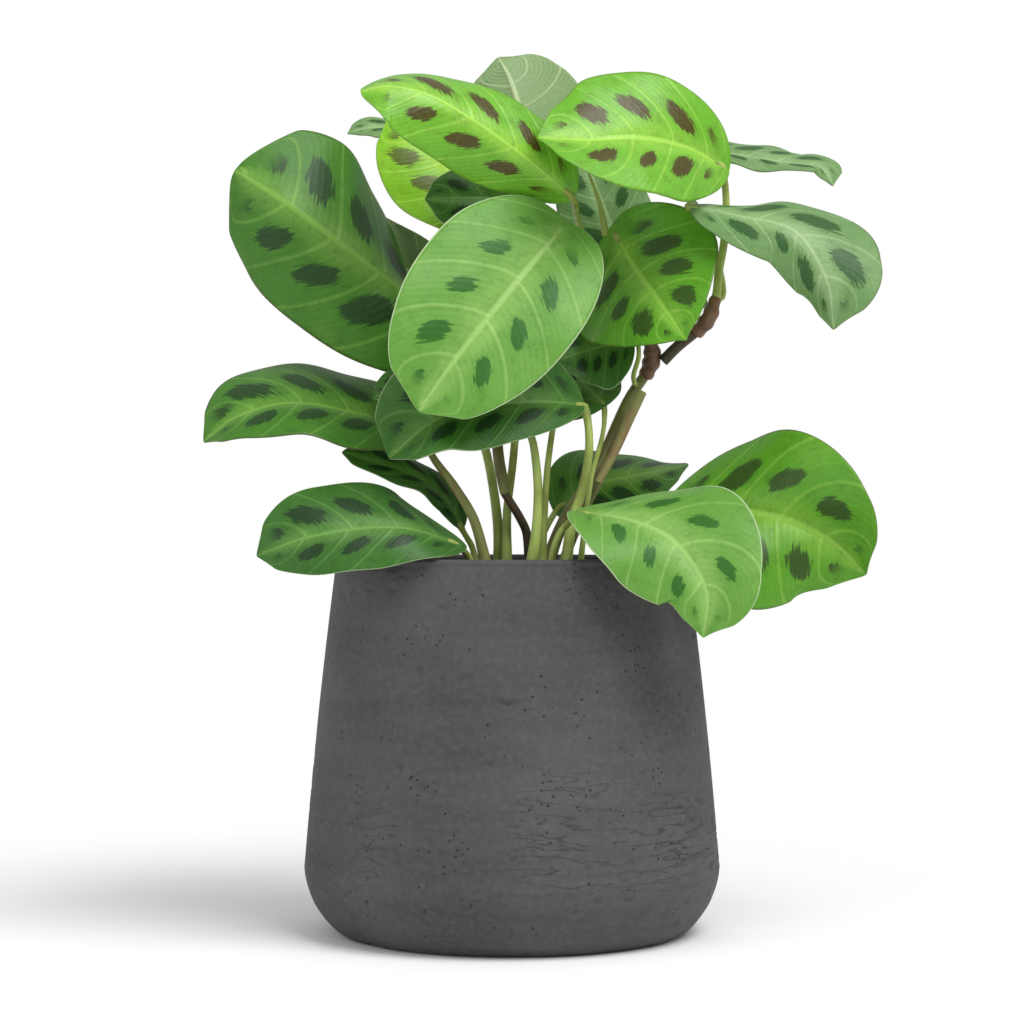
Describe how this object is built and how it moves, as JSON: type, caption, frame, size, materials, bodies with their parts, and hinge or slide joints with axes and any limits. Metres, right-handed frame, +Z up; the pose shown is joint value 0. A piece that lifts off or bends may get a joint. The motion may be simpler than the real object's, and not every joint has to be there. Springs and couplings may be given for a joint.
{
  "type": "potted prayer plant",
  "caption": "A prayer plant (Maranta) with blotched oval leaves, standing in a charcoal fibre-clay pot that widens towards its foot.",
  "frame": {"origin": "centre of the pot's flat base", "axes": "+Z up; the side with the most leaf faces showing looks along -Y; -Z is the base's outward normal"},
  "size_m": [0.2715, 0.1704, 0.3681],
  "materials": {
    "pot": "matte, pitted, dark charcoal fibre clay",
    "soil": "crumbly dark potting soil",
    "leaf_front": "satin leaf with darker blotches between the side veins, grey-green below",
    "leaf_left_tall": "satin leaf with darker blotches between the side veins, grey-green below",
    "leaf_top_left": "satin leaf with darker blotches between the side veins, grey-green below",
    "leaf_top_right": "satin leaf with darker blotches between the side veins, grey-green below",
    "leaf_yellow": "satin leaf with darker blotches between the side veins, grey-green below",
    "leaf_dark_inner": "satin leaf with darker blotches between the side veins, grey-green below",
    "leaf_pale_inner": "satin leaf with darker blotches between the side veins, grey-green below",
    "leaf_right_inner": "satin leaf with darker blotches between the side veins, grey-green below",
    "leaf_right_droop": "satin leaf with darker blotches between the side veins, grey-green below",
    "leaf_right_thin": "satin leaf with darker blotches between the side veins, grey-green below",
    "leaf_back_top": "satin leaf with darker blotches between the side veins, grey-green below",
    "leaf_back_tip": "satin leaf with darker blotches between the side veins, grey-green below",
    "leaf_shadow_right": "satin leaf with darker blotches between the side veins, grey-green below",
    "leaf_small_under": "satin leaf with darker blotches between the side veins, grey-green below",
    "leaf_dark_behind": "satin leaf with darker blotches between the side veins, grey-green below",
    "leaf_low_centre": "satin leaf with darker blotches between the side veins, grey-green below",
    "leaf_left_mid": "satin leaf with darker blotches between the side veins, grey-green below",
    "leaf_peek_left": "satin leaf with darker blotches between the side veins, grey-green below",
    "leaf_left_lower": "satin leaf with darker blotches between the side veins, grey-green below",
    "leaf_rim_left": "satin leaf with darker blotches between the side veins, grey-green below",
    "leaf_rim_right": "satin leaf with darker blotches between the side veins, grey-green below",
    "leaf_far_right": "satin leaf with darker blotches between the side veins, grey-green below",
    "leaf_behind_stems": "satin leaf with darker blotches between the side veins, grey-green below",
    "leaf_back_left": "satin leaf with darker blotches between the side veins, grey-green below",
    "petiole_left_mid": "smooth plant stalk",
    "petiole_left_lower": "smooth plant stalk",
    "petiole_left_tall": "smooth plant stalk",
    "cane_left_low": "smooth plant stalk",
    "cane_left_up": "smooth plant stalk",
    "petiole_front": "smooth plant stalk",
    "petiole_peek": "smooth plant stalk",
    "petiole_dark_behind": "smooth plant stalk",
    "petiole_low_centre": "smooth plant stalk",
    "petiole_small_under": "smooth plant stalk",
    "cane_main": "smooth plant stalk",
    "cane_second": "smooth plant stalk",
    "cut_sheath": "smooth plant stalk",
    "node_lower": "smooth plant stalk",
    "cane_right": "smooth plant stalk",
    "node_upper": "smooth plant stalk",
    "petiole_top_right": "smooth plant stalk",
    "petiole_top_left": "smooth plant stalk",
    "sheath_top_left": "smooth plant stalk",
    "petiole_rim_left": "smooth plant stalk",
    "petiole_rim_right": "smooth plant stalk",
    "petiole_far_right": "smooth plant stalk",
    "petiole_behind_stems": "smooth plant stalk",
    "petiole_right_droop": "smooth plant stalk",
    "petiole_right_thin": "smooth plant stalk",
    "petiole_back_top": "smooth plant stalk",
    "petiole_back_tip": "smooth plant stalk",
    "petiole_yellow": "smooth plant stalk",
    "petiole_dark_inner": "smooth plant stalk",
    "petiole_pale_inner": "smooth plant stalk",
    "petiole_right_inner": "smooth plant stalk",
    "petiole_back_left": "smooth plant stalk",
    "petiole_shadow_right": "smooth plant stalk"
  },
  "bodies": {
    "root": {"pot": "pot", "soil": "soil", "leaf_front": "leaf_front", "leaf_left_tall": "leaf_left_tall", "leaf_top_left": "leaf_top_left", "leaf_top_right": "leaf_top_right", "leaf_yellow": "leaf_yellow", "leaf_dark_inner": "leaf_dark_inner", "leaf_pale_inner": "leaf_pale_inner", "leaf_right_inner": "leaf_right_inner", "leaf_right_droop": "leaf_right_droop", "leaf_right_thin": "leaf_right_thin", "leaf_back_top": "leaf_back_top", "leaf_back_tip": "leaf_back_tip", "leaf_shadow_right": "leaf_shadow_right", "leaf_small_under": "leaf_small_under", "leaf_dark_behind": "leaf_dark_behind", "leaf_low_centre": "leaf_low_centre", "leaf_left_mid": "leaf_left_mid", "leaf_peek_left": "leaf_peek_left", "leaf_left_lower": "leaf_left_lower", "leaf_rim_left": "leaf_rim_left", "leaf_rim_right": "leaf_rim_right", "leaf_far_right": "leaf_far_right", "leaf_behind_stems": "leaf_behind_stems", "leaf_back_left": "leaf_back_left", "petiole_left_mid": "petiole_left_mid", "petiole_left_lower": "petiole_left_lower", "petiole_left_tall": "petiole_left_tall", "cane_left_low": "cane_left_low", "cane_left_up": "cane_left_up", "petiole_front": "petiole_front", "petiole_peek": "petiole_peek", "petiole_dark_behind": "petiole_dark_behind", "petiole_low_centre": "petiole_low_centre", "petiole_small_under": "petiole_small_under", "cane_main": "cane_main", "cane_second": "cane_second", "cut_sheath": "cut_sheath", "node_lower": "node_lower", "cane_right": "cane_right", "node_upper": "node_upper", "petiole_top_right": "petiole_top_right", "petiole_top_left": "petiole_top_left", "sheath_top_left": "sheath_top_left", "petiole_rim_left": "petiole_rim_left", "petiole_rim_right": "petiole_rim_right", "petiole_far_right": "petiole_far_right", "petiole_behind_stems": "petiole_behind_stems", "petiole_right_droop": "petiole_right_droop", "petiole_right_thin": "petiole_right_thin", "petiole_back_top": "petiole_back_top", "petiole_back_tip": "petiole_back_tip", "petiole_yellow": "petiole_yellow", "petiole_dark_inner": "petiole_dark_inner", "petiole_pale_inner": "petiole_pale_inner", "petiole_right_inner": "petiole_right_inner", "petiole_back_left": "petiole_back_left", "petiole_shadow_right": "petiole_shadow_right"}
  },
  "joints": []
}
